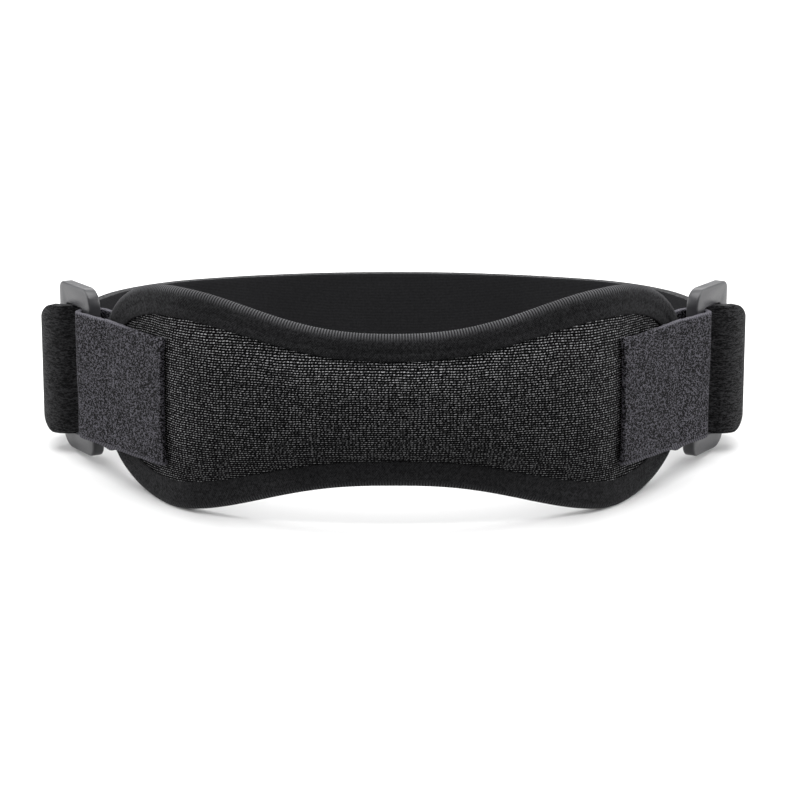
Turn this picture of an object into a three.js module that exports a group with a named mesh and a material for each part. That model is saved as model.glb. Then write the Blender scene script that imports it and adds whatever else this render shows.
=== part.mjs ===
import * as THREE from 'three';
import { mergeVertices } from 'three/addons/utils/BufferGeometryUtils.js';

// Patella strap. Lengths are in millimetres and angles in degrees.
// It is drawn level first: X runs across the front, Y from the pad to the back of the leg, and Z up
// from the middle of its height. Then it leans back until it stands on its lobes and its back strap.

// Fits
const GAP = 0.3;                      // between pieces that touch
const FLATTENING = 0.5;               // how far the cloth gives where it stands

// Plan of the pad: a wide arc, a tighter bend and a straight end on each side
const FRONT_RADIUS = 140;
const FRONT_SWEEP = 24;
const BEND_RADIUS = 26;
const END_ANGLE = 52;

// Pad, with lengths along it measured from its middle
const LOBE_HEIGHT = 66;
const WAIST_HEIGHT = 44.5;
const PAD_END_HEIGHT = 26;
const LOBE_PLACE = 66;                // where a lobe is highest
const PAD_REACH = 100.5;              // where the pad ends
const WAIST_SPREAD = 1.25;            // over 1 keeps the waist narrow for longer
const BINDING_WIDTH = 7;
const BINDING_THICKNESS = 4.2;
const CUSHION_THICKNESS = 3.8;        // at its edge
const CROWN = 5.0;                    // rise of the cushion's front over its edge
const CROWN_BEFORE_TAB = 11.5;        // the crown begins to fall off this far before the hook strap's end
const CROWN_UNDER_TAB = 9.5;          // and has run out this far under it

// Rings
const RING_LENGTH = 21;
const RING_BAR = 5;                   // width of the bars that the straps go round
const RING_RAIL = 5.5;                // height of the rails over and under the straps
const RING_THICKNESS = 5;
const RING_CORNER = 6;
const RING_EDGE = 0.7;                // rounding of its edges
const RING_TURN = 6;                  // how much further round than the pad's end
const RING_DISTANCE = 5;              // from the pad's end to the ring's front bar

// Hook straps
const HOOK_WIDTH = 39.5;
const HOOK_THICKNESS = 1.8;
const HOOK_LAP = 35;                   // how far the outer ply lies back over the pad
const HOOK_SEAM = 18;                 // how far the inner ply reaches behind the pad

// Back strap
const BACK_WIDTH = 40;
const BACK_THICKNESS = 3.2;
const FOLD_SLACK = 1.6;               // how loosely it goes round the ring's rear bar
const BACK_RADIUS = 165;
const BACK_SWEEP = 22;
const BACK_BEND_RADIUS = 50;
const BACK_END_ANGLE = 58;
const BACK_LAP = 42;                  // length of the end that lies on the outer face
const LAP_WIDTH = 34;                 // the end narrows to this round the fold
const LAP_CORNER = 8;
const LAP_SLOPE = 22;                 // angle at which the end comes down onto the strap
const LAP_BEND_RADIUS = 14;
const FOLD_CORNER = 4;                // how much narrower the fold is where it stands out most
const FOLD_FALL = 1.6;                // how fast that drops off to each side, over 1 is faster
const FOLD_NARROWING = 0.6;           // share of the fold after which it narrows to the end's width

// Steps of the faceted shapes
const END_STEPS = 2;
const CORNER_STEPS = 9;
const WAIST_STEPS = 12;
const BINDING_SIDES = 10;
const CUSHION_ROWS = 10;
const STRAP_ROWS = 4;
const WRAP_STEP = 15;                 // degrees of a wrap for each facet
const PLAIN_STEP = 7;                 // length of a facet along a gentle run

const { degToRad, radToDeg, lerp, smoothstep } = THREE.MathUtils;

// A leg of a route is a length and a turn to the left in degrees. This gives the place and heading
// after going a distance along one leg.
function advance(place, leg, distance) {
  const turn = degToRad(leg.turn) * (leg.length > 0 ? distance / leg.length : 1);
  const start = degToRad(place.heading);
  const chord = turn === 0 ? distance : distance * Math.sin(turn / 2) / (turn / 2);
  const course = start + turn / 2;
  return {
    x: place.x + chord * Math.cos(course),
    y: place.y + chord * Math.sin(course),
    heading: place.heading + radToDeg(turn),
  };
}

const arc = (radius, turn) => ({ length: radius * degToRad(Math.abs(turn)), turn });
const straight = (length) => ({ length, turn: 0 });

// Stations along a whole route, closer together where it wraps tightly
function trace(start, legs) {
  const stations = [start];
  let place = start;
  for (const leg of legs) {
    const steps = Math.max(Math.ceil(leg.length / PLAIN_STEP), Math.ceil(Math.abs(leg.turn) / WRAP_STEP));
    for (let step = 1; step <= steps; step += 1) {
      const progress = step / steps;
      stations.push({ ...advance(place, leg, leg.length * progress), leg, progress });
    }
    place = stations[stations.length - 1];
  }
  return stations;
}

const toTheRight = (place, distance) => ({
  ...place,
  x: place.x + distance * Math.sin(degToRad(place.heading)),
  y: place.y - distance * Math.cos(degToRad(place.heading)),
});

const mirrorPlace = (place) => ({ ...place, x: -place.x, heading: -place.heading });

// Place on the pad's plan at a signed distance from its middle, moved outwards by offset
function frontPlace(distance, offset) {
  const legs = [arc(FRONT_RADIUS, FRONT_SWEEP), arc(BEND_RADIUS, END_ANGLE - FRONT_SWEEP)];
  let left = Math.abs(distance);
  let place = { x: 0, y: 0, heading: 0 };
  for (const leg of legs) {
    place = advance(place, leg, Math.min(left, leg.length));
    left = Math.max(0, left - leg.length);
  }
  place = advance(place, straight(left), left);
  return toTheRight(distance < 0 ? mirrorPlace(place) : place, offset);
}

const padPoint = (distance, height, offset) => {
  const place = frontPlace(distance, offset);
  return new THREE.Vector3(place.x, place.y, height);
};

// Half the pad's height at a distance between its waist and a lobe
function waistHalfHeight(distance) {
  const share = Math.pow(distance / LOBE_PLACE, WAIST_SPREAD);
  return lerp(WAIST_HEIGHT, LOBE_HEIGHT, (1 - Math.cos(Math.PI * share)) / 2) / 2;
}

// A quarter of the pad's outline, from the middle of its end over the lobe to the waist
function outlineQuarter() {
  const points = [];
  for (let step = 0; step < END_STEPS; step += 1) {
    points.push(new THREE.Vector2(PAD_REACH, PAD_END_HEIGHT / 2 * step / END_STEPS));
  }
  for (let step = 0; step < CORNER_STEPS; step += 1) {
    const angle = Math.PI / 2 * step / CORNER_STEPS;
    const out = LOBE_PLACE + (PAD_REACH - LOBE_PLACE) * Math.cos(angle);
    points.push(new THREE.Vector2(out, lerp(PAD_END_HEIGHT, LOBE_HEIGHT, Math.sin(angle)) / 2));
  }
  for (let step = 0; step <= WAIST_STEPS; step += 1) {
    const out = LOBE_PLACE * (1 - step / WAIST_STEPS);
    points.push(new THREE.Vector2(out, waistHalfHeight(out)));
  }
  return points;
}

// The whole outline, going left from the end on the right, with its normals pointing outwards
function outlineLoop() {
  const quarter = outlineQuarter();
  const top = [...quarter, ...quarter.slice(0, -1).reverse().map((p) => new THREE.Vector2(-p.x, p.y))];
  const bottom = top.slice(1, -1).reverse().map((p) => new THREE.Vector2(p.x, -p.y));
  const points = [...top, ...bottom];
  return points.map((point, index) => {
    const before = points[(index + points.length - 1) % points.length];
    const after = points[(index + 1) % points.length];
    const along = after.clone().sub(before).normalize();
    return { point, normal: new THREE.Vector2(along.y, -along.x) };
  });
}

// Moves each vertex of a geometry by its place in the unit shape, and closes it at its seams
function shaped(geometry, placeOf) {
  const position = geometry.attributes.position;
  const uv = geometry.attributes.uv;
  const from = new THREE.Vector3();
  for (let index = 0; index < position.count; index += 1) {
    from.fromBufferAttribute(position, index);
    const to = placeOf(from, uv.getX(index), uv.getY(index));
    position.setXYZ(index, to.x, to.y, to.z);
  }
  geometry.deleteAttribute('normal');
  geometry.deleteAttribute('uv');
  return mergeVertices(geometry);
}

function mirrored(geometry) {
  const copy = geometry.clone().scale(-1, 1, 1);
  const index = copy.index;
  for (let corner = 0; corner < index.count; corner += 3) {
    const second = index.getX(corner + 1);
    index.setX(corner + 1, index.getX(corner + 2));
    index.setX(corner + 2, second);
  }
  return copy;
}

// How much of the crown is there at a distance along the pad. It makes room for the hook strap.
const tabDistance = PAD_REACH - HOOK_LAP;
const crownAlong = (distance) => (
  1 - smoothstep(Math.abs(distance), tabDistance - CROWN_BEFORE_TAB, tabDistance + CROWN_UNDER_TAB)
);

const crownAcross = (share) => 1 - Math.pow(Math.abs(share), 3);

const cushionTop = (distance) => CUSHION_THICKNESS / 2 + CROWN * crownAlong(distance);

// The cushion fills the binding: flat behind and crowned in front
function makeCushion() {
  const inset = BINDING_WIDTH + GAP;
  const quarterLength = outlineQuarter().length;
  const edge = outlineLoop().slice(END_STEPS, quarterLength).map(({ point, normal }) => (
    point.clone().addScaledVector(normal, -inset)
  ));
  const right = edge.reverse();
  const columns = [...right.slice(1).reverse().map((p) => new THREE.Vector2(-p.x, p.y)), ...right];
  const grid = new THREE.BoxGeometry(1, 1, 1, columns.length - 1, CUSHION_ROWS, 1);
  return shaped(grid, (from) => {
    const column = columns[Math.round((from.x + 0.5) * (columns.length - 1))];
    const share = from.y * 2;
    const front = CUSHION_THICKNESS / 2 + CROWN * crownAcross(share) * crownAlong(column.x);
    const offset = from.z > 0 ? front : -CUSHION_THICKNESS / 2;
    return padPoint(column.x, column.y * share, offset);
  });
}

// The binding is a flattened round section carried along the outline
function makeBinding() {
  const loop = outlineLoop();
  const ring = new THREE.TorusGeometry(1, 0.5, BINDING_SIDES, loop.length);
  return shaped(ring, (from, alongShare, roundShare) => {
    const { point, normal } = loop[Math.round(alongShare * loop.length) % loop.length];
    const angle = 2 * Math.PI * (Math.round(roundShare * BINDING_SIDES) % BINDING_SIDES + 0.5) / BINDING_SIDES;
    const inward = BINDING_WIDTH / 2 * (Math.sign(Math.cos(angle)) * Math.sqrt(Math.abs(Math.cos(angle))) - 1);
    const offset = BINDING_THICKNESS / 2 * Math.sign(Math.sin(angle)) * Math.sqrt(Math.abs(Math.sin(angle)));
    const place = point.clone().addScaledVector(normal, inward);
    return padPoint(place.x, place.y, offset);
  });
}

// A flat strap along its stations, as high at each as halfHeightAt says
function makeStrap(stations, thickness, halfHeightAt) {
  const grid = new THREE.BoxGeometry(1, 1, 1, stations.length - 1, STRAP_ROWS, 1);
  return shaped(grid, (from) => {
    const number = Math.round((from.x + 0.5) * (stations.length - 1));
    const place = toTheRight(stations[number], from.z * thickness);
    return new THREE.Vector3(place.x, place.y, from.y * 2 * halfHeightAt(stations[number], number));
  });
}

// How far a strap's middle stays from the middle of the bar that it goes round
const barCornerRadius = Math.hypot(RING_BAR, RING_THICKNESS) / 2 - RING_EDGE * (Math.SQRT2 - 1);
const wrapRadius = (thickness) => barCornerRadius + GAP + thickness / 2;
const foldRadius = wrapRadius(BACK_THICKNESS) + FOLD_SLACK;

// The inner ply of the hook strap lies on the pad's back, and that sets where the ring is
const innerPlyOffset = -(BINDING_THICKNESS / 2 + GAP + HOOK_THICKNESS / 2);
const frontBar = {
  ...frontPlace(PAD_REACH + RING_DISTANCE + RING_BAR / 2, innerPlyOffset + wrapRadius(HOOK_THICKNESS)),
  heading: END_ANGLE + RING_TURN,
};
const ringCentre = advance(frontBar, straight(1), (RING_LENGTH - RING_BAR) / 2);

// The back strap touches the rear bar inside the opening, and stands off it behind
const foldCentre = advance(frontBar, straight(1), RING_LENGTH - RING_BAR + FOLD_SLACK);

// Right-hand hook strap: over the pad, round the ring's front bar and back behind the pad
function hookRoute() {
  const radius = wrapRadius(HOOK_THICKNESS);
  const cutEnd = frontPlace(tabDistance, cushionTop(tabDistance) + GAP + HOOK_THICKNESS / 2);
  const seam = frontPlace(PAD_REACH - HOOK_SEAM, innerPlyOffset);
  const bearing = (from) => radToDeg(Math.atan2(frontBar.y - from.y, frontBar.x - from.x));
  const away = (from) => Math.hypot(frontBar.y - from.y, frontBar.x - from.x);
  const tangentAngle = (from) => radToDeg(Math.asin(radius / away(from)));
  const tangentLength = (from) => Math.sqrt(away(from) ** 2 - radius ** 2);
  const outHeading = bearing(cutEnd) - tangentAngle(cutEnd);
  const backHeading = bearing(seam) + tangentAngle(seam) + 180;
  return trace({ ...cutEnd, heading: outHeading }, [
    straight(tangentLength(cutEnd)),
    arc(radius, backHeading - outHeading),
    straight(tangentLength(seam)),
  ]);
}

const makeHookStrap = () => makeStrap(hookRoute(), HOOK_THICKNESS, () => HOOK_WIDTH / 2);

// Right half of the back strap, from the middle of the back to its end on the outer face
function backRoute() {
  const lapOffset = BACK_THICKNESS + GAP;
  const slope = degToRad(LAP_SLOPE);
  const wide = arc(BACK_RADIUS, -BACK_SWEEP);
  const bend = arc(BACK_BEND_RADIUS, BACK_SWEEP - BACK_END_ANGLE);
  const touch = toTheRight({ ...foldCentre, heading: -BACK_END_ANGLE }, foldRadius);
  const afterBend = advance(advance({ x: 0, y: 0, heading: 0 }, wide, wide.length), bend, bend.length);
  const run = (touch.x - afterBend.x) / Math.cos(degToRad(BACK_END_ANGLE));
  const depth = touch.y - afterBend.y + run * Math.sin(degToRad(BACK_END_ANGLE));
  const fold = { ...arc(foldRadius, 180 + LAP_SLOPE), isFold: true };
  const fall = foldRadius * (1 + Math.cos(slope)) - LAP_BEND_RADIUS * (1 - Math.cos(slope)) - lapOffset;
  const descent = fall / Math.sin(slope);
  const used = (foldRadius + LAP_BEND_RADIUS) * Math.sin(slope) + descent * Math.cos(slope);
  const beside = run - used;
  const lapRadius = BACK_BEND_RADIUS + lapOffset;
  const last = BACK_LAP - used - beside - LAP_CORNER;
  return trace({ x: 0, y: depth, heading: 0 }, [
    wide,
    bend,
    straight(run),
    fold,
    ...[
      straight(descent),
      arc(LAP_BEND_RADIUS, -LAP_SLOPE),
      straight(beside),
      { length: last, turn: radToDeg(last / lapRadius) },
      ...lapEndLegs(lapRadius),
    ].map((leg) => ({ ...leg, isLap: true })),
  ]);
}

// The rounded end is walked in short legs, so that its corners come out round
function lapEndLegs(lapRadius) {
  const shares = [0, 0.4, 0.7, 0.9, 1];
  return shares.slice(1).map((share, index) => {
    const length = LAP_CORNER * (share - shares[index]);
    return { length, turn: radToDeg(length / lapRadius), endShare: share };
  });
}

// The strap is narrower where its fold stands out most, and its ends have round corners
function backHalfHeight({ leg, progress }) {
  const fromApex = degToRad(FOLD_FALL * ((180 + LAP_SLOPE) * progress - 90 - BACK_END_ANGLE));
  const foldDrop = leg?.isFold ? FOLD_CORNER * Math.max(0, Math.cos(fromApex)) ** 2 : 0;
  const endDrop = leg?.endShare ? LAP_CORNER * (1 - Math.sqrt(1 - leg.endShare ** 2)) : 0;
  const lapShare = leg?.isFold ? smoothstep(progress, FOLD_NARROWING, 1) : Number(Boolean(leg?.isLap));
  return lerp(BACK_WIDTH, LAP_WIDTH, lapShare) / 2 - foldDrop - endDrop;
}

function makeBackStrap() {
  const right = backRoute();
  const left = right.slice(1).map(mirrorPlace).reverse();
  return makeStrap([...left, ...right], BACK_THICKNESS, backHalfHeight);
}

// A rectangle with round corners
function roundedRectangle(path, width, height, radius) {
  const x = width / 2 - radius;
  const y = height / 2 - radius;
  path.absarc(x, y, radius, 0, Math.PI / 2);
  path.absarc(-x, y, radius, Math.PI / 2, Math.PI);
  path.absarc(-x, -y, radius, Math.PI, Math.PI * 1.5);
  path.absarc(x, -y, radius, Math.PI * 1.5, Math.PI * 2);
  path.closePath();
  return path;
}

// The ring's opening is as high as the back strap, with a gap over and under it
function makeRing() {
  const openingHeight = BACK_WIDTH + 2 * GAP;
  const openingCorner = Math.max(RING_CORNER - RING_BAR, 2 * RING_EDGE);
  const shape = roundedRectangle(new THREE.Shape(), RING_LENGTH, openingHeight + 2 * RING_RAIL, RING_CORNER);
  shape.holes.push(roundedRectangle(new THREE.Path(), RING_LENGTH - 2 * RING_BAR, openingHeight, openingCorner));
  const depth = RING_THICKNESS - 2 * RING_EDGE;
  const geometry = new THREE.ExtrudeGeometry(shape, {
    depth,
    curveSegments: 4,
    bevelThickness: RING_EDGE,
    bevelSize: RING_EDGE,
    bevelOffset: -RING_EDGE,
    bevelSegments: 2,
  });
  return geometry.translate(0, 0, -depth / 2);
}

// The floor, in the level frame, goes under the lobes and the rear edge of the back strap
const backMiddle = backRoute()[0];
const rearEdge = { y: backMiddle.y + BACK_THICKNESS / 2, z: -BACK_WIDTH / 2 };
const floorSlope = Math.max(...outlineLoop().map(({ point }) => {
  const foot = padPoint(point.x, point.y, 0);
  return (rearEdge.z - foot.z) / (rearEdge.y - foot.y);
}));
const floorAt = (y) => rearEdge.z + FLATTENING + (y - rearEdge.y) * floorSlope;

// Cloth that would reach below the floor is flattened on it
function rested(geometry) {
  const position = geometry.attributes.position;
  for (let index = 0; index < position.count; index += 1) {
    position.setZ(index, Math.max(position.getZ(index), floorAt(position.getY(index))));
  }
  return geometry;
}

const meshMaterial = new THREE.MeshStandardMaterial({ color: 0x1b1b1e, roughness: 0.95, metalness: 0 });
const tapeMaterial = new THREE.MeshStandardMaterial({ color: 0x2c2d31, roughness: 0.85, metalness: 0 });
const hookMaterial = new THREE.MeshStandardMaterial({ color: 0x44454a, roughness: 0.9, metalness: 0 });
const brushedMaterial = new THREE.MeshStandardMaterial({ color: 0x222225, roughness: 0.95, metalness: 0 });
const plasticMaterial = new THREE.MeshStandardMaterial({ color: 0x55565b, roughness: 0.5, metalness: 0 });

function named(name, geometry, material) {
  const mesh = new THREE.Mesh(geometry, material);
  mesh.name = name;
  return mesh;
}

function placedRing(name, place) {
  const mesh = named(name, makeRing(), plasticMaterial);
  mesh.rotation.set(Math.PI / 2, 0, degToRad(place.heading), 'ZYX');
  mesh.position.set(place.x, place.y, 0);
  return mesh;
}

const patellaStrap = new THREE.Group();
patellaStrap.add(
  named('pad_cushion', makeCushion(), meshMaterial),
  named('pad_binding', rested(makeBinding()), tapeMaterial),
  placedRing('ring_right', ringCentre),
  placedRing('ring_left', mirrorPlace(ringCentre)),
  named('hook_strap_right', makeHookStrap(), hookMaterial),
  named('hook_strap_left', mirrored(makeHookStrap()), hookMaterial),
  named('back_strap', rested(makeBackStrap()), brushedMaterial),
);

// It leans back onto the floor, with the middle of its box over the origin
const lean = Math.atan(floorSlope);
patellaStrap.rotation.x = -lean;
patellaStrap.position.z = -floorAt(0) * Math.cos(lean);
patellaStrap.updateMatrixWorld(true);
const middle = new THREE.Box3().setFromObject(patellaStrap, true).getCenter(new THREE.Vector3());
patellaStrap.position.y = -middle.y;

const model = new THREE.Group();
model.add(patellaStrap);

export default model;
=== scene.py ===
import math

import bpy
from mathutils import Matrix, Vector, noise


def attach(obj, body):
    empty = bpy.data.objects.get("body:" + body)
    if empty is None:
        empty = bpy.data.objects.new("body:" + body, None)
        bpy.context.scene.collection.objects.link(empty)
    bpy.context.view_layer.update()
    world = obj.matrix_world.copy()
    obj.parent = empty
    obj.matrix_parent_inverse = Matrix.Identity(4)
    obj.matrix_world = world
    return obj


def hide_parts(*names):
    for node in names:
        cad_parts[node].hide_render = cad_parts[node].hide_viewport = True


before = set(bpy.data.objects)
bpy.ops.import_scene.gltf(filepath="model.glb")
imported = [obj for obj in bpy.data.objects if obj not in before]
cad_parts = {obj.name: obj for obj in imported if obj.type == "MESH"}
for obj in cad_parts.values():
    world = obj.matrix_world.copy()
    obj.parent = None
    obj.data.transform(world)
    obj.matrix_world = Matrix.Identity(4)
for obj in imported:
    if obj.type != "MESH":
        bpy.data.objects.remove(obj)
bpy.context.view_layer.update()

# Studio: a white sweep of paper under the strap, a wide soft box above, one low behind that draws a
# thin light line along the upper edges, and one on each side for the rings. The paper throws no light
# up onto the strap. The camera looks down from the front.
CAMERA_PLACE = (0.002, -0.7684, 0.3266)
CAMERA_DOWN = 21.896
LENS = 122.2

bpy.ops.object.camera_add(location=CAMERA_PLACE, rotation=(math.radians(90 - CAMERA_DOWN), 0, 0))
camera = bpy.context.object
camera.data.lens = LENS
camera.data.sensor_width = 36
bpy.context.scene.camera = camera

bpy.ops.mesh.primitive_plane_add(size=9, location=(0, 0, 0))
floor = bpy.context.object
floor.name = "floor"
paper = bpy.data.materials.new("white_paper")
paper.use_nodes = True
paper.node_tree.nodes["Principled BSDF"].inputs["Base Color"].default_value = (0.86, 0.86, 0.86, 1)
paper.node_tree.nodes["Principled BSDF"].inputs["Roughness"].default_value = 0.9
floor.data.materials.append(paper)
floor.visible_diffuse = False


def soft_box(name, place, aim, width, height, power):
    light = bpy.data.lights.new(name, "AREA")
    light.shape = "RECTANGLE"
    light.size = width
    light.size_y = height
    light.energy = power
    lamp = bpy.data.objects.new(name, light)
    lamp.location = place
    lamp.rotation_euler = (Vector(aim) - Vector(place)).to_track_quat("-Z", "Y").to_euler()
    bpy.context.collection.objects.link(lamp)


soft_box("soft_box_above", (0, 0.1, 1.1), (0, 0, 0), 1.3, 1.0, 19)
soft_box("soft_box_behind", (0, 1.3, 0.75), (0, 0, 0.05), 1.8, 0.6, 11)
soft_box("soft_box_left", (-1.0, 0.15, 0.4), (0, 0, 0.03), 0.7, 0.6, 6.5)
soft_box("soft_box_right", (1.0, 0.15, 0.4), (0, 0, 0.03), 0.7, 0.6, 6.5)

room = bpy.data.worlds.new("white_room")
room.use_nodes = True
room.node_tree.nodes["Background"].inputs["Color"].default_value = (1, 1, 1, 1)
room.node_tree.nodes["Background"].inputs["Strength"].default_value = 0.4
bpy.context.scene.world = room
bpy.context.scene.view_settings.view_transform = "Standard"


# Pad cushion: foam under an open mesh knit, moulded into a dog bone that is narrow at its waist. It is
# crowned in front and flat behind, and its edge is held by the binding all the way round. Lengths
# are in millimetres on a pad drawn level, and stood() leans them back as the strap stands.
MM = 0.001
LEAN = math.radians(8.396)
STANDS_AT = Vector((0, -0.050385, 0.034823))
FRONT_RADIUS = 140
FRONT_SWEEP = math.radians(24)
BEND_RADIUS = 26
END_HEADING = math.radians(52)
LOBE_HEIGHT = 66
WAIST_HEIGHT = 44.5
PAD_END_HEIGHT = 26
LOBE_PLACE = 66
PAD_REACH = 100.5
WAIST_SPREAD = 1.25
CUSHION_INSET = 7.1
CUSHION_EDGE = 1.65
CUSHION_BACK = -1.75
CROWN = 5.2
CROWN_START = 54
CROWN_END = 75
SEAM_VALLEY = 4.5
CUSHION_ROWS = 44
SWELL_PRESSURE = 4
SWELL_FRAMES = 20
SWELL_MOST = 0.9


def stood(x, y, z):
    """A place in metres as the strap stands, from a place in millimetres on the level plan."""
    leant = Vector((x, y * math.cos(LEAN) + z * math.sin(LEAN), z * math.cos(LEAN) - y * math.sin(LEAN)))
    return leant * MM + STANDS_AT


def walk(place, length, turn, distance):
    """The place and heading after a distance along a leg that turns evenly over its length."""
    x, y, heading = place
    turned = turn * (distance / length if length else 1)
    chord = distance * (math.sin(turned / 2) / (turned / 2) if turned else 1)
    course = heading + turned / 2
    return (x + chord * math.cos(course), y + chord * math.sin(course), heading + turned)


def to_the_right(place, offset):
    x, y, heading = place
    return (x + offset * math.sin(heading), y - offset * math.cos(heading), heading)


def smooth(value, low, high):
    share = min(1, max(0, (value - low) / (high - low)))
    return share * share * (3 - 2 * share)


def front_place(distance, offset):
    """A place along the pad's middle line, to either side of its centre, and offset to its front."""
    left = abs(distance)
    place = (0, 0, 0)
    for radius, turn in ((FRONT_RADIUS, FRONT_SWEEP), (BEND_RADIUS, END_HEADING - FRONT_SWEEP)):
        length = radius * turn
        step = min(left, length)
        place = walk(place, length, turn, step)
        left -= step
    place = walk(place, 1, 0, left)
    if distance < 0:
        place = (-place[0], place[1], -place[2])
    return to_the_right(place, offset)


def pad_point(distance, height, offset):
    x, y, heading = front_place(distance, offset)
    return stood(x, y, height)


def outline_quarter(end_steps, corner_steps, waist_steps):
    points = [Vector((PAD_REACH, PAD_END_HEIGHT / 2 * step / end_steps)) for step in range(end_steps)]
    for step in range(corner_steps):
        angle = math.pi / 2 * step / corner_steps
        reach = LOBE_PLACE + (PAD_REACH - LOBE_PLACE) * math.cos(angle)
        height = PAD_END_HEIGHT + (LOBE_HEIGHT - PAD_END_HEIGHT) * math.sin(angle)
        points.append(Vector((reach, height / 2)))
    for step in range(waist_steps + 1):
        reach = LOBE_PLACE * (1 - step / waist_steps)
        share = (1 - math.cos(math.pi * (reach / LOBE_PLACE) ** WAIST_SPREAD)) / 2
        points.append(Vector((reach, (WAIST_HEIGHT + (LOBE_HEIGHT - WAIST_HEIGHT) * share) / 2)))
    return points


def with_normals(points):
    together = []
    for number, point in enumerate(points):
        along = (points[(number + 1) % len(points)] - points[number - 1]).normalized()
        together.append((point, Vector((along.y, -along.x))))
    return together


def mirrored_points(points):
    return [Vector((-point.x, point.y)) for point in reversed(points)]


def crown_along(distance):
    return 1 - smooth(abs(distance), CROWN_START, CROWN_END)


def cushion_front(distance, height, half_height):
    share = abs(height) / half_height
    valley = smooth((1 - share) * half_height, 0.4, SEAM_VALLEY)
    return CUSHION_EDGE + CROWN * crown_along(distance) * (1 - share ** 3) * (0.35 + 0.65 * valley)


def face_outwards(piece, merged_within=0):
    bpy.ops.object.mode_set(mode="EDIT")
    bpy.ops.mesh.select_all(action="SELECT")
    if merged_within:
        bpy.ops.mesh.remove_doubles(threshold=merged_within)
    bpy.ops.mesh.normals_make_consistent(inside=False)
    bpy.ops.object.mode_set(mode="OBJECT")


def grid_box(name, columns, rows):
    bpy.ops.object.select_all(action="DESELECT")
    bpy.ops.mesh.primitive_grid_add(x_subdivisions=columns, y_subdivisions=rows, size=1)
    piece = bpy.context.object
    piece.name = name
    piece.data.name = name
    bpy.ops.object.mode_set(mode="EDIT")
    bpy.ops.mesh.select_all(action="SELECT")
    bpy.ops.mesh.extrude_region_move(TRANSFORM_OT_translate={"value": (0, 0, 1)})
    bpy.ops.object.mode_set(mode="OBJECT")
    face_outwards(piece)
    return piece


def on_surface(piece, spots):
    """Writes the piece's own pattern coordinates, in millimetres, one spot for each vertex."""
    layer = piece.data.uv_layers[0]
    for loop in piece.data.loops:
        layer.data[loop.index].uv = spots[loop.vertex_index]


END_STEPS = 6
CORNER_STEPS = 26
WAIST_STEPS = 44
quarter = outline_quarter(END_STEPS, CORNER_STEPS, WAIST_STEPS)
top_half = quarter + mirrored_points(quarter[:-1])
bottom_half = [Vector((point.x, -point.y)) for point in reversed(top_half[1:-1])]
pad_outline = with_normals(top_half + bottom_half)
inset_right = [point - normal * CUSHION_INSET for point, normal in pad_outline[END_STEPS:len(quarter)]]
cushion_columns = [Vector((-point.x, point.y)) for point in inset_right] + inset_right[-2::-1]

cushion = grid_box("pad_cushion_knit", len(cushion_columns) - 1, CUSHION_ROWS)
cushion_pattern = []
seam_pins = []
for vertex in cushion.data.vertices:
    column = cushion_columns[round((vertex.co.x + 0.5) * (len(cushion_columns) - 1))]
    share = vertex.co.y * 2
    height = column.y * share
    in_front = vertex.co.z > 0.5
    offset = cushion_front(column.x, height, column.y) if in_front else CUSHION_BACK
    vertex.co = pad_point(column.x, height, offset)
    cushion_pattern.append((column.x, 0.8 * height + 3.2 * share))
    if not in_front or abs(share) > 0.9 or abs(column.x) > 60:
        seam_pins.append(vertex.index)
on_surface(cushion, cushion_pattern)


def swell(piece, pins, most):
    """Blows the cushion up a little, as its foam does, with its seams held. most is in metres."""
    blown_up = 10
    start = [vertex.co.copy() for vertex in piece.data.vertices]
    for vertex in piece.data.vertices:
        vertex.co = vertex.co * blown_up
    group = piece.vertex_groups.new(name="seams")
    group.add(pins, 1, "REPLACE")
    cloth = piece.modifiers.new("foam", "CLOTH")
    cloth.settings.vertex_group_mass = "seams"
    cloth.settings.use_pressure = True
    cloth.settings.uniform_pressure_force = SWELL_PRESSURE
    cloth.settings.effector_weights.gravity = 0
    cloth.point_cache.frame_start = 1
    cloth.point_cache.frame_end = SWELL_FRAMES
    for number in range(1, SWELL_FRAMES + 1):
        bpy.context.scene.frame_set(number)
    bpy.ops.object.select_all(action="DESELECT")
    piece.select_set(True)
    bpy.context.view_layer.objects.active = piece
    bpy.ops.object.modifier_apply(modifier="foam")
    bpy.context.scene.frame_set(1)
    for vertex, before in zip(piece.data.vertices, start):
        moved = vertex.co / blown_up - before
        if moved.length > most:
            moved = moved.normalized() * most
        vertex.co = before + moved
    piece.vertex_groups.clear()


swell(cushion, seam_pins, SWELL_MOST * MM)


def finished(piece, modifiers, angle=40):
    """Applies modifiers, given as a kind and its settings, and shades the piece smooth."""
    bpy.ops.object.select_all(action="DESELECT")
    piece.select_set(True)
    bpy.context.view_layer.objects.active = piece
    for kind, settings in modifiers:
        modifier = piece.modifiers.new(kind.lower(), kind)
        for key, value in settings.items():
            setattr(modifier, key, value)
        bpy.ops.object.modifier_apply(modifier=modifier.name)
    bpy.ops.object.shade_smooth_by_angle(angle=math.radians(angle))


finished(cushion, [("SUBSURF", {"levels": 1, "render_levels": 1})])


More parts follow.
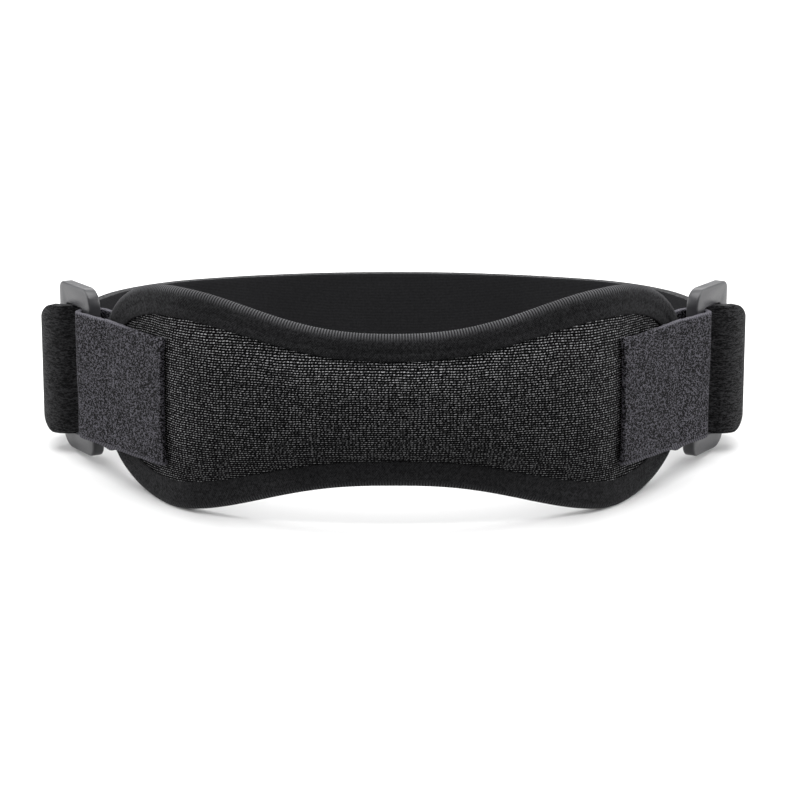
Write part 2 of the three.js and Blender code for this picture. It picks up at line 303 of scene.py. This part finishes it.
class Thread:
    """A value that runs through a material's nodes. Python's arithmetic on it adds Math nodes."""

    def __init__(self, tree, socket=None):
        self.tree = tree
        self.socket = socket

    def node(self, kind, settings, sockets, output=0):
        made = self.tree.nodes.new(kind)
        for key, value in settings.items():
            setattr(made, key, value)
        for key, value in sockets.items():
            if isinstance(value, Thread):
                self.tree.links.new(value.socket, made.inputs[key])
            else:
                made.inputs[key].default_value = value
        return Thread(self.tree, made.outputs[output])

    def math(self, operation, *values):
        return self.node("ShaderNodeMath", {"operation": operation}, dict(enumerate(values)))

    def __add__(self, other):
        return self.math("ADD", self, other)

    def __radd__(self, other):
        return self.math("ADD", other, self)

    def __sub__(self, other):
        return self.math("SUBTRACT", self, other)

    def __rsub__(self, other):
        return self.math("SUBTRACT", other, self)

    def __mul__(self, other):
        return self.math("MULTIPLY", self, other)

    def __rmul__(self, other):
        return self.math("MULTIPLY", other, self)

    def __truediv__(self, other):
        return self.math("DIVIDE", self, other)

    def __pow__(self, other):
        return self.math("POWER", self, other)

    def fraction(self):
        return self.math("FRACT", self)

    def whole(self):
        return self.math("FLOOR", self)

    def wave(self, period):
        return self.math("SINE", self * (2 * math.pi / period)) * 0.5 + 0.5

    def between(self, low, high):
        return self.node("ShaderNodeMapRange", {"interpolation_type": "SMOOTHSTEP"},
                         {"Value": self, "From Min": low, "From Max": high})

    def noise(self, scale, detail=2.0, roughness=0.5):
        return self.node("ShaderNodeTexNoise", {}, {"Vector": self, "Scale": scale, "Detail": detail,
                                                    "Roughness": roughness})

    def stretched(self, x, y, z=1):
        return self.node("ShaderNodeVectorMath", {"operation": "MULTIPLY"}, {0: self, 1: (x, y, z)})

    def axis(self, number):
        return self.node("ShaderNodeSeparateXYZ", {}, {0: self}, number)

    def colour(self, dark, light):
        return self.node("ShaderNodeMix", {"data_type": "RGBA"},
                         {0: self, 6: (*dark, 1), 7: (*light, 1)}, 2)


def new_finish(name, **constants):
    material = bpy.data.materials.new(name)
    material.use_nodes = True
    shader = material.node_tree.nodes["Principled BSDF"]
    for key, value in constants.items():
        shader.inputs[key.replace("_", " ")].default_value = value
    tree = material.node_tree
    start = Thread(tree)
    pattern = start.node("ShaderNodeTexCoord", {}, {}, "UV")
    place = start.node("ShaderNodeTexCoord", {}, {}, "Object")
    return material, shader, pattern, place


def finish_with(shader, colour, roughness, height, depth):
    """Joins the pattern's colour, roughness and height, whose depth is in metres, to the shader."""
    tree = colour.tree
    tree.links.new(colour.socket, shader.inputs["Base Color"])
    if isinstance(roughness, Thread):
        tree.links.new(roughness.socket, shader.inputs["Roughness"])
    else:
        shader.inputs["Roughness"].default_value = roughness
    bump = colour.node("ShaderNodeBump", {}, {"Strength": 1.0, "Distance": depth, "Height": height})
    tree.links.new(bump.socket, shader.inputs["Normal"])


KNIT_PITCH = 0.98
KNIT_ROW = 0.655
mesh_knit, shader, pattern, place = new_finish("mesh_knit", Specular_IOR_Level=0.06)
drift = place.noise(90, 2)
along = pattern.axis(0) + (place.noise(260, 1) - 0.5) * 0.8 + (place.noise(900, 1) - 0.5) * 1.1
across = pattern.axis(1) + (drift - 0.5) * 1.0 + (place.noise(700, 1) - 0.5) * 0.2
row = (across / KNIT_ROW).whole()
shift = (row * 0.37).fraction() * 0.45
cell_along = (along / KNIT_PITCH + shift).fraction() - 0.5
cell_across = (across / KNIT_ROW).fraction() - 0.5
slant = cell_across - cell_along * 0.12
dash = 1 - (cell_along / 0.45) ** 2 - (slant / 0.25) ** 2
loop_height = dash.between(-0.05, 0.8)
wear = place.noise(1150, 1, 0.8).between(0.38, 0.62)
rubbed = place.noise(55, 2)
tone = loop_height * (0.2 + 0.8 * wear) * (0.75 + 0.5 * rubbed)
finish_with(shader, tone.colour((0.0006, 0.0006, 0.0008), (0.4, 0.4, 0.41)), 0.92, loop_height, 0.00016)

cushion.data.materials.append(mesh_knit)
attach(cushion, "root")
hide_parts("pad_cushion")


# Pad binding: ribbed elastic tape folded over the pad's edge and sewn through with one row of
# lockstitch. The fold is full and round outside, and both flanges lie flat on the knit.
BINDING_STEPS = 620
BINDING_WIDTH = 7.7
LOBE_WIDENING = 0.9
RIM = 2.1
FLANGE = 0.35
STITCH_LINE = 5.1
STITCH_PITCH = 3.2
STITCH_DIP = 0.22
RIM_SIDES = 12


def even_loop(points, count):
    """Points at even steps round a closed line, with the distance of each."""
    lengths = [(points[(number + 1) % len(points)] - point).length for number, point in enumerate(points)]
    total = sum(lengths)
    even = []
    number = 0
    passed = 0
    for step in range(count):
        wanted = total * step / count
        while passed + lengths[number] < wanted:
            passed += lengths[number]
            number += 1
        share = (wanted - passed) / lengths[number]
        even.append(points[number].lerp(points[(number + 1) % len(points)], share))
    return even, total


fine_quarter = outline_quarter(10, 60, 90)
fine_top = fine_quarter + mirrored_points(fine_quarter[:-1])
fine_outline = fine_top + [Vector((point.x, -point.y)) for point in reversed(fine_top[1:-1])]
even_points, girth = even_loop(fine_outline, BINDING_STEPS)
binding_path = with_normals(even_points)


def binding_section(width, dip):
    """Round the section from the back flange's edge over the rim to the front flange's edge."""
    inner = CUSHION_INSET - 0.2
    front = [(RIM, RIM), (3.2, RIM + 0.12), (4.3, RIM + 0.08), (STITCH_LINE - 0.35, RIM - dip * 0.4),
             (STITCH_LINE, RIM - dip), (STITCH_LINE + 0.35, RIM - dip * 0.4), (6.1, RIM + 0.04),
             (width - 0.5, RIM + 0.02), (width - 0.1, RIM - 0.1), (width, RIM - FLANGE + 0.05)]
    rim = []
    for step in range(1, RIM_SIDES):
        angle = math.pi * step / RIM_SIDES
        rim.append((RIM * (1 - math.sin(angle)), -RIM * math.cos(angle)))
    back = [(inward, -offset) for inward, offset in reversed(front)]
    return back + rim + front + [(inner, RIM - FLANGE), (inner, FLANGE - RIM)]


section_length = len(binding_section(BINDING_WIDTH, STITCH_DIP))
bpy.ops.object.select_all(action="DESELECT")
bpy.ops.mesh.primitive_grid_add(x_subdivisions=BINDING_STEPS, y_subdivisions=section_length, size=1)
binding = bpy.context.object
binding.name = "pad_binding_tape"
binding.data.name = "pad_binding_tape"
binding_round = []
for vertex in binding.data.vertices:
    step = round((vertex.co.x + 0.5) * BINDING_STEPS)
    side = round((vertex.co.y + 0.5) * section_length) % section_length
    point, normal = binding_path[step % BINDING_STEPS]
    distance = girth * (step % BINDING_STEPS) / BINDING_STEPS
    lobe = smooth(abs(point.x), 30, 60)
    pull = STITCH_DIP * (0.55 + 0.45 * math.cos(2 * math.pi * distance / STITCH_PITCH))
    section = binding_section(BINDING_WIDTH + LOBE_WIDENING * lobe, pull)
    inward, offset = section[side]
    ripple = noise.noise(Vector((distance * 0.16, inward * 0.2, 3.7))) * 0.22
    ripple += noise.noise(Vector((distance * 0.42, inward * 0.25, 6.4))) * 0.3 * lobe
    ripple *= smooth(inward, 0.5, 3)
    pad = point - normal * inward
    vertex.co = pad_point(pad.x, pad.y, offset + math.copysign(ripple, offset))
    vertex.co.z = max(vertex.co.z, 0)
    binding_round.append((girth * step / BINDING_STEPS, inward))

on_surface(binding, binding_round)
face_outwards(binding, merged_within=1e-7)
finished(binding, [], angle=60)

RIB_PITCH = 0.82
edge_tape, shader, pattern, place = new_finish("edge_tape", Specular_IOR_Level=0.12)
along = pattern.axis(0)
inward = pattern.axis(1)
rib = along.wave(RIB_PITCH)
# The mask below marks the round fold of the tape: it carries the fold's real ribs and also a painted
# highlight along the fold.
ribbed_rim_and_highlight = 1 - inward.between(0.3, 2.6)
grain = place.noise(1500, 2, 0.7).between(0.3, 0.7)
twill = (along + inward * 0.8).wave(0.62) * (along - inward * 0.8).wave(0.7)
weave = rib * ribbed_rim_and_highlight + (twill * 0.5 + grain * 0.6) * (1 - ribbed_rim_and_highlight)
worn = place.noise(60, 3)
# Painted highlight: the round fold is painted about twice as light as the flanges, over its own ribs and
# the tape's random wear.
tone = weave * (0.42 + 0.5 * ribbed_rim_and_highlight) * (0.5 + 1.0 * worn)
finish_with(shader, tone.colour((0.002, 0.002, 0.0024), (0.1, 0.1, 0.105)), 0.85, weave, 0.00014)

binding.data.materials.append(edge_tape)
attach(binding, "root")
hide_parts("pad_binding")

# Stitches of the binding: one thread that dips into the tape at every hole, front and back.
STITCH_THICKNESS = 0.36
STITCH_REACH = 0.4 * STITCH_PITCH
STITCH_SINK = 0.12


def sewn_row(name, place_at, length):
    """Repeats one stitch along a line. place_at gives a place for a distance, a side step and a rise."""
    bpy.ops.object.select_all(action="DESELECT")
    bpy.ops.mesh.primitive_uv_sphere_add(segments=8, ring_count=6, radius=1)
    row = bpy.context.object
    row.name = name
    row.data.name = name
    bpy.ops.object.mode_set(mode="EDIT")
    bpy.ops.transform.resize(value=(STITCH_REACH, STITCH_THICKNESS / 2, STITCH_THICKNESS / 2))
    bpy.ops.object.mode_set(mode="OBJECT")
    finished(row, [("ARRAY", {"count": int(length / STITCH_PITCH), "use_relative_offset": False,
                              "use_constant_offset": True,
                              "constant_offset_displace": (STITCH_PITCH, 0, 0)})])
    for vertex in row.data.vertices:
        along, side_step, rise = vertex.co
        from_middle = along - round(along / STITCH_PITCH) * STITCH_PITCH
        sunk = STITCH_SINK * (from_middle / STITCH_REACH) ** 2
        vertex.co = place_at(along + STITCH_PITCH / 2, side_step, rise - sunk)
    finished(row, [], angle=60)
    face_outwards(row)
    return row


def beside_outline(side):
    def place_at(distance, side_step, rise):
        exact = distance / girth * BINDING_STEPS
        first = math.floor(exact)
        share = exact - first
        point, normal = binding_path[first % BINDING_STEPS]
        next_point, next_normal = binding_path[(first + 1) % BINDING_STEPS]
        pad = point.lerp(next_point, share) - normal.lerp(next_normal, share) * (STITCH_LINE + side_step)
        return pad_point(pad.x, pad.y, side * (RIM - STITCH_DIP * 0.6 + rise))
    return place_at


thread, shader, pattern, place = new_finish("sewing_thread", Specular_IOR_Level=0.1)
twist = place.noise(2600, 1)
finish_with(shader, twist.colour((0.003, 0.003, 0.0034), (0.02, 0.02, 0.022)), 0.6, twist, 0.00005)
for side, name in ((1, "binding_stitches_front"), (-1, "binding_stitches_back")):
    stitches = sewn_row(name, beside_outline(side), girth)
    stitches.data.materials.append(thread)
    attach(stitches, "root")


# Rings: moulded satin plastic, a flat rectangle with round corners. A strap goes round each of its
# two upright bars, and its rails stand out over and under the straps. A corner is named by its end,
# 1 at the rear bar, and its rail, 1 at the upper one.
RING_LENGTH = 21
RING_BAR = 5
RING_RAIL = 5.5
RING_THICKNESS = 5
RING_CORNERS = {(1, 1): 2.2, (-1, 1): 5.5, (1, -1): 6.5, (-1, -1): 3.0}
RING_EDGE = 0.6
RAIL_DROP = 0.8
OPENING_CORNER = 1.2
MOULDED_THICKNESS = 3.9
RING_TURN = math.radians(6)
RING_DISTANCE = 5
RING_OPENING = 40.6
FIT = 0.3
HOOK_THICKNESS = 1.8
BINDING_THICKNESS = 4.2


def wrap_radius(thickness):
    corner = math.hypot(RING_BAR, RING_THICKNESS) / 2 - 0.7 * (math.sqrt(2) - 1)
    return corner + FIT + thickness / 2


inner_ply = -(BINDING_THICKNESS / 2 + FIT + HOOK_THICKNESS / 2)
bar_x, bar_y, bar_heading = front_place(PAD_REACH + RING_DISTANCE + RING_BAR / 2,
                                        inner_ply + wrap_radius(HOOK_THICKNESS))
front_bar = (bar_x, bar_y, END_HEADING + RING_TURN)
ring_centre = walk(front_bar, 1, 0, (RING_LENGTH - RING_BAR) / 2)


def block(name, length, thickness, height, corners):
    """A block whose four edges along its thickness are rounded, each by its own radius."""
    bpy.ops.object.select_all(action="DESELECT")
    bpy.ops.mesh.primitive_cube_add(size=1)
    piece = bpy.context.object
    piece.name = name
    piece.data.name = name
    bpy.ops.object.mode_set(mode="EDIT")
    bpy.ops.transform.resize(value=(length, thickness, height))
    bpy.ops.mesh.select_mode(type="EDGE")
    for (end, rail), corner in corners.items():
        bpy.ops.mesh.select_all(action="DESELECT")
        bpy.ops.object.mode_set(mode="OBJECT")
        for edge in piece.data.edges:
            ends = [piece.data.vertices[number].co for number in edge.vertices]
            at_corner = all(point.x * end > length / 2 - 0.01 and point.z * rail > height / 2 - 0.01
                            for point in ends)
            edge.select = at_corner and abs(ends[0].y - ends[1].y) > 1
        bpy.ops.object.mode_set(mode="EDIT")
        bpy.ops.mesh.bevel(offset=corner, segments=10, affect="EDGES")
    bpy.ops.object.mode_set(mode="OBJECT")
    return piece


def make_ring(name, side):
    height = RING_OPENING + 2 * RING_RAIL
    ring = block(name, RING_LENGTH, MOULDED_THICKNESS, height, RING_CORNERS)
    inner = {corner: OPENING_CORNER for corner in RING_CORNERS}
    opening = block(name + "_opening", RING_LENGTH - 2 * RING_BAR, 3 * RING_THICKNESS,
                    RING_OPENING - RAIL_DROP, inner)
    for vertex in opening.data.vertices:
        vertex.co.z -= RAIL_DROP / 2
    finished(ring, [
        ("BOOLEAN", {"object": opening, "operation": "DIFFERENCE", "solver": "EXACT"}),
        ("BEVEL", {"width": RING_EDGE, "segments": 4, "limit_method": "ANGLE",
                   "angle_limit": math.radians(40)}),
    ], angle=50)
    bpy.data.objects.remove(opening)
    x, y, heading = to_the_right(ring_centre, (RING_THICKNESS - MOULDED_THICKNESS) / 2)
    for vertex in ring.data.vertices:
        along, through, up = vertex.co
        level_x = x + along * math.cos(heading) + through * math.sin(heading)
        level_y = y + along * math.sin(heading) - through * math.cos(heading)
        vertex.co = stood(side * level_x, level_y, up)
    if side > 0:
        ring.data.flip_normals()
    return ring


ring_plastic, shader, pattern, place = new_finish("ring_plastic", Specular_IOR_Level=0.5)
speckle = place.noise(2200, 3, 0.6)
smear = place.noise(120, 3)
finish_with(shader, smear.colour((0.024, 0.024, 0.027), (0.044, 0.044, 0.048)),
            0.26 + smear * 0.16, speckle + smear * 0.3, 0.00003)
for side, name in ((1, "right"), (-1, "left")):
    ring = make_ring("ring_" + name + "_moulded", side)
    ring.data.materials.append(ring_plastic)
    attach(ring, "root")
    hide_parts("ring_" + name)


# Hook straps: 40 mm tape with tiny moulded hooks all over its face and a narrow woven selvedge. Each
# is sewn behind the pad, goes round the ring's front bar and lies over the pad's end, cut off straight.
HOOK_WIDTH = 39.5
HOOK_LAP = 35
HOOK_SEAM = 18
TAB_PLACE = PAD_REACH - HOOK_LAP + 1.0
SELVEDGE = 1.3
HOOK_SLIP = 1.5
BAR_SLIP = 0.6
CREASE_PLACE = 28
CREASE_WIDTH = 2.2
CREASE_DEPTH = 0.35
CREASE_FALL = 0.9
CORNER_SIZE = 5
CORNER_PRESS = 0.18


def trace(start, legs, step_length):
    """Stations along a route. Each has its place, its distance, the number of its leg and a share of it."""
    stations = [(start, 0, 0, 0)]
    place = start
    passed = 0
    for number, (length, turn) in enumerate(legs):
        steps = max(math.ceil(length / step_length), math.ceil(abs(turn) / math.radians(9)))
        for step in range(1, steps + 1):
            share = step / steps
            here = walk(place, length, turn, length * share)
            stations.append((here, passed + length * share, number, share))
        place = stations[-1][0]
        passed += length
    return stations


def strap_along(name, stations, rows, point_at, thickness, edge_round, segments, side=1):
    """Lays a grid along the stations, on the right or left side, and gives it thickness and round edges."""
    bpy.ops.object.select_all(action="DESELECT")
    bpy.ops.mesh.primitive_grid_add(x_subdivisions=len(stations) - 1, y_subdivisions=rows, size=1)
    piece = bpy.context.object
    piece.name = name
    piece.data.name = name
    spots = []
    for vertex in piece.data.vertices:
        station = stations[round((vertex.co.x + 0.5) * (len(stations) - 1))]
        x, y, up, height = point_at(station, vertex.co.y * 2)
        vertex.co = stood(side * x, y, up)
        spots.append((station[1], height))
    on_surface(piece, spots)
    finished(piece, [
        ("SOLIDIFY", {"thickness": thickness * MM, "offset": 0, "use_even_offset": False}),
        ("BEVEL", {"width": edge_round * MM, "segments": segments, "limit_method": "ANGLE",
                   "angle_limit": math.radians(60)}),
    ])
    face_outwards(piece)
    return piece


radius = wrap_radius(HOOK_THICKNESS)
tab_top = 1.9 + 5.0 * crown_along(TAB_PLACE)
cut_end = front_place(TAB_PLACE, tab_top + FIT + HOOK_THICKNESS / 2)
seam_end = front_place(PAD_REACH - HOOK_SEAM, inner_ply)


def to_the_bar(place):
    away = math.hypot(front_bar[1] - place[1], front_bar[0] - place[0])
    bearing = math.atan2(front_bar[1] - place[1], front_bar[0] - place[0])
    return bearing, math.asin(radius / away), math.sqrt(away ** 2 - radius ** 2)


bearing, tangent, out_length = to_the_bar(cut_end)
out_heading = bearing - tangent
bearing, tangent, back_length = to_the_bar(seam_end)
back_heading = bearing + tangent + math.pi
hook_legs = [(out_length, 0), (radius * (back_heading - out_heading), back_heading - out_heading),
             (back_length, 0)]
hook_stations = trace((cut_end[0], cut_end[1], out_heading), hook_legs, 1.2)


def hook_point(station, share):
    place, distance, leg, leg_share = station
    height = share * HOOK_WIDTH / 2
    slip = HOOK_SLIP - (HOOK_SLIP - BAR_SLIP) * smooth(distance, 4, 30)
    height -= slip * max(0, share)
    crease = math.exp(-((distance - CREASE_PLACE) / CREASE_WIDTH) ** 2) if leg == 0 else 0
    height -= CREASE_FALL * crease * max(0, -share) ** 8
    corner = max(0, (abs(share) - 1) * HOOK_WIDTH / 2 + CORNER_SIZE - distance * 0.8)
    lift = -CORNER_PRESS * corner * (1 if leg == 0 else 0) - CREASE_DEPTH * crease
    lift += 0.25 * noise.noise(Vector((distance * 0.08, height * 0.07, 1.3)))
    x, y, heading = to_the_right(place, lift)
    fray = 0.12 * noise.noise(Vector((distance * 0.5, share * 9, 8.1))) * abs(share) ** 6
    return x, y, height + fray * 2, height


hook_tape, shader, pattern, place = new_finish("hook_tape", Specular_IOR_Level=0.12)
coarse = place.stretched(1, 1, 1.4).noise(1250, 1, 0.8)
fine = place.stretched(1, 1, 1.4).noise(2500, 1, 0.7)
patches = place.noise(110, 3)
speckle = (coarse * 0.6 + fine * 0.4).between(0.485, 0.565)
from_edge = HOOK_WIDTH / 2 - pattern.axis(1).math("ABSOLUTE", pattern.axis(1))
selvedge = 1 - from_edge.between(SELVEDGE * 0.7, SELVEDGE)
braid = (pattern.axis(0) + from_edge * 0.8).wave(1.15)
tone = (speckle * (0.7 + 0.6 * patches)) * (1 - selvedge) + (0.35 + 0.65 * braid) * selvedge
finish_with(shader, tone.colour((0.0006, 0.0005, 0.001), (0.128, 0.124, 0.143)), 0.8, tone, 0.00022)

for side, name in ((1, "right"), (-1, "left")):
    strap = strap_along("hook_strap_" + name + "_tape", hook_stations, 24, hook_point, HOOK_THICKNESS,
                        0.45, 2, side)
    strap.data.materials.append(hook_tape)
    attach(strap, "root")
    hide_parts("hook_strap_" + name)


# Back strap: brushed loop cloth over thin foam, in one length. At each side it goes out through the
# ring, folds round its rear bar and lies on its own outer face, where a patch of hooks holds it.
BACK_WIDTH = 40
BACK_THICKNESS = 3.2
FOLD_SLACK = 1.6
BACK_RADIUS = 165
BACK_SWEEP = math.radians(22)
BACK_BEND_RADIUS = 50
BACK_END_HEADING = math.radians(58)
BACK_LAP = 42
LAP_WIDTH = 34
LAP_CORNER = 8
LAP_SLOPE = math.radians(22)
LAP_BEND_RADIUS = 14
FOLD_CORNER = 4
FOLD_FALL = 1.6
FOLD_NARROWING = 0.6
FOLD_LEG = 3
CORNER_LEG = 8
FOLD_DROP = 0.7

fold_radius = wrap_radius(BACK_THICKNESS) + FOLD_SLACK
fold_centre = walk(front_bar, 1, 0, RING_LENGTH - RING_BAR + FOLD_SLACK)
lap_offset = BACK_THICKNESS + FIT
wide = (BACK_RADIUS * BACK_SWEEP, -BACK_SWEEP)
bend = (BACK_BEND_RADIUS * (BACK_END_HEADING - BACK_SWEEP), BACK_SWEEP - BACK_END_HEADING)
touch = to_the_right((fold_centre[0], fold_centre[1], -BACK_END_HEADING), fold_radius)
after_wide = walk((0, 0, 0), *wide, wide[0])
after_bend = walk(after_wide, *bend, bend[0])
run = (touch[0] - after_bend[0]) / math.cos(BACK_END_HEADING)
depth = touch[1] - after_bend[1] + run * math.sin(BACK_END_HEADING)
fold = (fold_radius * (math.pi + LAP_SLOPE), math.pi + LAP_SLOPE)
fall = fold_radius * (1 + math.cos(LAP_SLOPE)) - LAP_BEND_RADIUS * (1 - math.cos(LAP_SLOPE)) - lap_offset
descent = fall / math.sin(LAP_SLOPE)
used = (fold_radius + LAP_BEND_RADIUS) * math.sin(LAP_SLOPE) + descent * math.cos(LAP_SLOPE)
lap_radius = BACK_BEND_RADIUS + lap_offset
last = BACK_LAP - run - LAP_CORNER
back_legs = [wide, bend, (run, 0), fold, (descent, 0), (LAP_BEND_RADIUS * LAP_SLOPE, -LAP_SLOPE),
             (run - used, 0), (last, last / lap_radius), (LAP_CORNER, LAP_CORNER / lap_radius)]
right_half = trace((0, depth, 0), back_legs, 1.6)
left_half = [((-x, y, -heading), -distance, leg, share)
             for (x, y, heading), distance, leg, share in reversed(right_half[1:])]
back_stations = left_half + right_half


def back_half_height(leg, share):
    from_apex = FOLD_FALL * ((math.pi + LAP_SLOPE) * share - math.pi / 2 - BACK_END_HEADING)
    fold_drop = FOLD_CORNER * max(0, math.cos(from_apex)) ** 2 if leg == FOLD_LEG else 0
    end_drop = 0
    if leg == CORNER_LEG:
        end_drop = LAP_CORNER * (1 - math.sqrt(max(0, 1 - share ** 2)))
    lap = smooth(share, FOLD_NARROWING, 1) if leg == FOLD_LEG else float(leg > FOLD_LEG)
    return (BACK_WIDTH + (LAP_WIDTH - BACK_WIDTH) * lap) / 2 - fold_drop - end_drop


def back_point(station, share):
    place, distance, leg, leg_share = station
    height = share * back_half_height(leg, leg_share)
    soft = 0.22 * noise.noise(Vector((distance * 0.05, height * 0.06, 5.2))) if leg < FOLD_LEG else 0
    x, y, heading = to_the_right(place, soft)
    drop = FOLD_DROP * smooth(abs(distance), wide[0] + bend[0], wide[0] + bend[0] + run)
    return x, y, height - drop, height


back_strap = strap_along("back_strap_brushed", back_stations, 26, back_point, BACK_THICKNESS, 1.1, 3)
for vertex in back_strap.data.vertices:
    vertex.co.z = max(vertex.co.z, 0)

brushed_loop, shader, pattern, place = new_finish("brushed_loop", Specular_IOR_Level=0.1, Sheen_Weight=0.12)
streaks = place.stretched(1, 1, 4.2).noise(520, 3, 0.6)
fibres = place.stretched(1, 1, 3).noise(1500, 2, 0.6)
nap = (streaks * 0.5 + fibres * 0.5).between(0.45, 0.6)
patches = place.noise(45, 3)
tone = nap * (0.5 + patches)
finish_with(shader, tone.colour((0.002, 0.002, 0.0024), (0.05, 0.05, 0.053)), 0.9, nap, 0.00012)
back_strap.data.materials.append(brushed_loop)

smooth_face, shader, pattern, place = new_finish("smooth_inner_face", Specular_IOR_Level=0.15)
ribbing = (pattern.axis(1) + place.noise(200, 1) * 0.3).wave(0.5)
skin = place.noise(1600, 2)
tone = (ribbing * 0.25 + skin * 0.5) * (0.6 + 0.8 * place.noise(40, 2))
finish_with(shader, tone.colour((0.01, 0.01, 0.011), (0.042, 0.042, 0.045)), 0.85, ribbing + skin, 0.00003)
back_strap.data.materials.append(smooth_face)
fold_start = wide[0] + bend[0] + run
uv = back_strap.data.uv_layers[0].data
for face in back_strap.data.polygons:
    before_fold = abs(uv[face.loop_start].uv.x) < fold_start - 2
    towards_leg = Vector((0, 0.01, face.center.z)) - face.center
    face.material_index = int(before_fold and face.normal.dot(towards_leg.normalized()) > 0.3)
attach(back_strap, "root")
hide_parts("back_strap")
